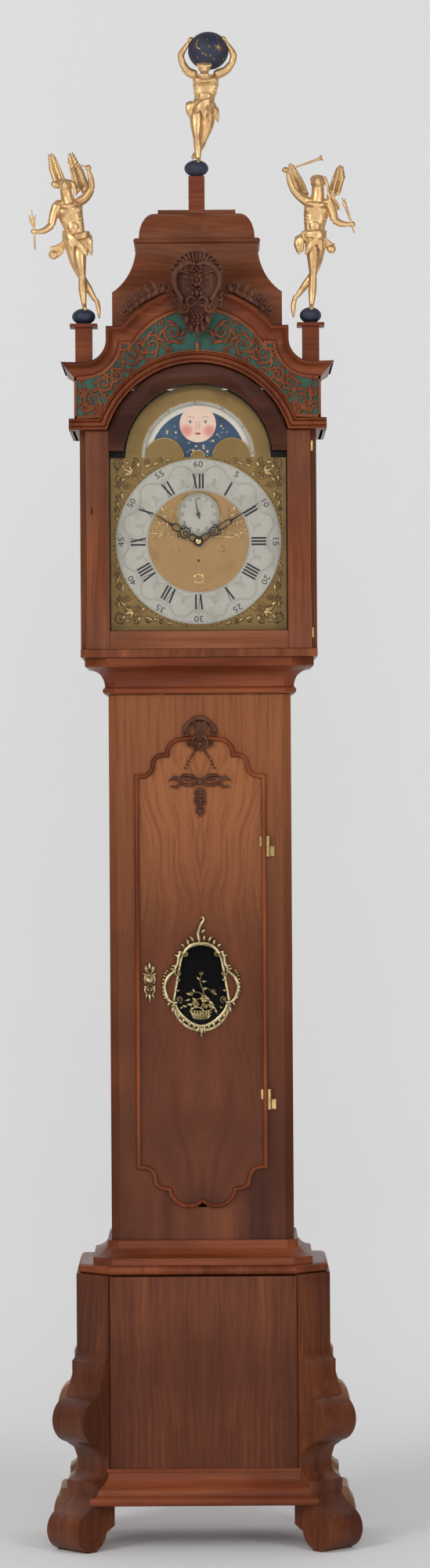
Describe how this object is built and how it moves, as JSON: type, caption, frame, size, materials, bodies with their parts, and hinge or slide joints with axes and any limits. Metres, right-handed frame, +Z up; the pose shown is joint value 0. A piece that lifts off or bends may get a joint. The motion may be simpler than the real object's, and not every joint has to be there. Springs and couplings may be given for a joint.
{
  "type": "grandfather clock",
  "caption": "Tall longcase clock: bombe bracket base, slim trunk with shaped door, arched moon dial, sliding hood with gilt figures, weight-driven movement.",
  "frame": {"origin": "middle of the floor area under the clock, at floor level", "axes": "+X to the viewer's right facing the dial, -Y out of the dial towards the viewer, +Z up"},
  "size_m": [0.61, 0.3189, 2.8046],
  "materials": {
    "walnut": "waxed veneer",
    "walnut_red": "waxed",
    "pale_wood": "waxed",
    "inner_wood": "bare",
    "gilt_wood": "gilt over gesso",
    "brass_plate": "satin",
    "brass_gear": "machined",
    "gilt_brass": "cast and gilt",
    "silvered": "silvered",
    "steel": "satin",
    "blued_steel": "blued",
    "bell_metal": "cast",
    "glass": "clear",
    "dark_glass": "dark",
    "line": "twisted gut",
    "moon_paint": "painted"
  },
  "bodies": {
    "case": {"back_board": "inner_wood", "base_carcass": "inner_wood", "base_front_board": "walnut", "plinth_moulding": "walnut", "front_brackets": "walnut", "rear_brackets": "pale_wood", "base_top_moulding": "walnut_red", "waist_sides": "walnut", "waist_front": "walnut", "throat_moulding": "walnut_red", "seat_board": "inner_wood", "front_plate": "brass_plate", "back_plate": "brass_plate", "dial_plate": "brass_plate", "dial_rings": "silvered", "spandrels": "gilt_brass", "pendulum_cock": "brass_plate", "bell": "bell_metal", "trunk_hinge_pins": "brass_plate"},
    "trunk_door": {"trunk_door_panel": "walnut", "door_mouldings": "walnut_red", "door_brasses": "gilt_brass", "lenticle_glass": "dark_glass", "trunk_hinge_leaves": "brass_plate"},
    "hood": {"hood_sides": "walnut", "hood_face": "walnut_red", "hood_cornice": "walnut_red", "hood_caddy": "walnut", "finial_posts": "walnut", "crest_carving": "walnut_red", "herald_left": "gilt_wood", "herald_right": "gilt_wood", "atlas_figure": "gilt_wood"},
    "hood_door": {"hood_door_frame": "walnut_red", "hood_door_glass": "glass", "hood_door_straps": "brass_plate"},
    "centre": {"centre_arbor": "brass_gear", "minute_hand": "blued_steel"},
    "hour": {"hour_wheel": "brass_gear", "hour_hand": "blued_steel"},
    "motion": {"minute_wheel": "brass_gear"},
    "great": {"going_great_wheel": "brass_gear"},
    "third": {"third_wheel": "brass_gear"},
    "escape": {"escape_wheel": "brass_gear", "seconds_hand": "blued_steel"},
    "anchor": {"pallet_anchor": "steel"},
    "pendulum": {"pendulum_rod": "steel", "pendulum_bob": "brass_plate"},
    "going_barrel": {"going_drum": "brass_plate"},
    "strike_barrel": {"strike_drum": "brass_plate"},
    "going_mass": {"going_weight": "brass_plate", "going_line": "line"},
    "strike_mass": {"strike_weight": "brass_plate", "strike_line": "line"},
    "strike_great": {"strike_great_wheel": "brass_gear"},
    "pin": {"pin_wheel": "brass_gear"},
    "fly": {"fly": "brass_gear"},
    "hammer": {"hammer": "steel"},
    "moon": {"moon_disc": "moon_paint"},
    "date": {"date_disc": "silvered"}
  },
  "joints": [
    {"name": "hood_slide", "type": "slide", "parent": "case", "child": "hood", "axis": [0, -1, 0], "range_m": [0, 0.3]},
    {"name": "hood_door_swing", "type": "hinge", "parent": "hood", "child": "hood_door", "pos_m": [0.2085, -0.10954, 1.85], "axis": [0, 0, 1], "range_deg": [0, 100]},
    {"name": "trunk_door_swing", "type": "hinge", "parent": "case", "child": "trunk_door", "pos_m": [0.124, -0.07014, 1.05], "axis": [0, 0, 1], "range_deg": [0, 100]},
    {"name": "minute_turn", "type": "hinge", "parent": "case", "child": "centre", "pos_m": [0, -0.00954, 1.8477], "axis": [0, 1, 0], "continuous": true},
    {"name": "hour_turn", "type": "hinge", "parent": "case", "child": "hour", "pos_m": [0, -0.07454, 1.8477], "axis": [0, 1, 0], "continuous": true},
    {"name": "motion_turn", "type": "hinge", "parent": "case", "child": "motion", "pos_m": [0, -0.04854, 1.8157], "axis": [0, 1, 0], "continuous": true},
    {"name": "great_turn", "type": "hinge", "parent": "case", "child": "great", "pos_m": [0.0414, 0.01446, 1.8335], "axis": [0, 1, 0], "continuous": true},
    {"name": "third_turn", "type": "hinge", "parent": "case", "child": "third", "pos_m": [0.0103, -0.00954, 1.8747], "axis": [0, 1, 0], "continuous": true},
    {"name": "escape_turn", "type": "hinge", "parent": "case", "child": "escape", "pos_m": [0, -0.00954, 1.8977], "axis": [0, 1, 0], "continuous": true},
    {"name": "anchor_rock", "type": "hinge", "parent": "case", "child": "anchor", "pos_m": [0, -0.00954, 1.94], "axis": [0, 1, 0], "range_deg": [-2.5, 2.5]},
    {"name": "pendulum_swing", "type": "hinge", "parent": "case", "child": "pendulum", "pos_m": [0, 0.04646, 1.94], "axis": [0, 1, 0], "range_deg": [-2.5, 2.5]},
    {"name": "going_fall", "type": "slide", "parent": "case", "child": "going_mass", "axis": [0, 0, -1], "range_m": [0, 0.95], "deforming": ["going_line"]},
    {"name": "strike_fall", "type": "slide", "parent": "case", "child": "strike_mass", "axis": [0, 0, -1], "range_m": [0, 0.95], "deforming": ["strike_line"]},
    {"name": "going_wind", "type": "hinge", "parent": "case", "child": "going_barrel", "pos_m": [0.0414, -0.00954, 1.8335], "axis": [0, 1, 0], "range_deg": [0, 5000]},
    {"name": "strike_wind", "type": "hinge", "parent": "case", "child": "strike_barrel", "pos_m": [-0.0414, -0.00954, 1.8335], "axis": [0, 1, 0], "range_deg": [-5000, 0]},
    {"name": "strike_great_turn", "type": "hinge", "parent": "case", "child": "strike_great", "pos_m": [-0.0414, 0.01646, 1.8335], "axis": [0, 1, 0], "continuous": true},
    {"name": "pin_turn", "type": "hinge", "parent": "case", "child": "pin", "pos_m": [-0.04812, -0.00954, 1.87163], "axis": [0, 1, 0], "continuous": true},
    {"name": "fly_turn", "type": "hinge", "parent": "case", "child": "fly", "pos_m": [-0.04375, -0.00954, 1.89645], "axis": [0, 1, 0], "continuous": true},
    {"name": "hammer_lift", "type": "hinge", "parent": "case", "child": "hammer", "pos_m": [-0.058, -0.00954, 1.9137], "axis": [0, 1, 0], "range_deg": [-5, 0]},
    {"name": "moon_turn", "type": "hinge", "parent": "case", "child": "moon", "pos_m": [0, -0.07054, 2.0015], "axis": [0, 1, 0], "continuous": true},
    {"name": "date_turn", "type": "hinge", "parent": "case", "child": "date", "pos_m": [0, -0.07054, 1.7457], "axis": [0, 1, 0], "continuous": true}
  ],
  "couplings": [
    {"joint": "hour_turn", "follows": "minute_turn", "ratio": 0.083333},
    {"joint": "motion_turn", "follows": "minute_turn", "ratio": -1},
    {"joint": "great_turn", "follows": "minute_turn", "ratio": -0.083333},
    {"joint": "third_turn", "follows": "minute_turn", "ratio": -7.5},
    {"joint": "escape_turn", "follows": "minute_turn", "ratio": 60},
    {"joint": "moon_turn", "follows": "minute_turn", "ratio": 0.00070621},
    {"joint": "date_turn", "follows": "minute_turn", "ratio": 0.0013441},
    {"joint": "anchor_rock", "follows": "pendulum_swing", "ratio": 1},
    {"joint": "going_wind", "follows": "going_fall", "rad_per_m": 90.909},
    {"joint": "strike_wind", "follows": "strike_fall", "rad_per_m": -90.909},
    {"joint": "pin_turn", "follows": "strike_great_turn", "ratio": -10.5},
    {"joint": "fly_turn", "follows": "strike_great_turn", "ratio": 84}
  ]
}
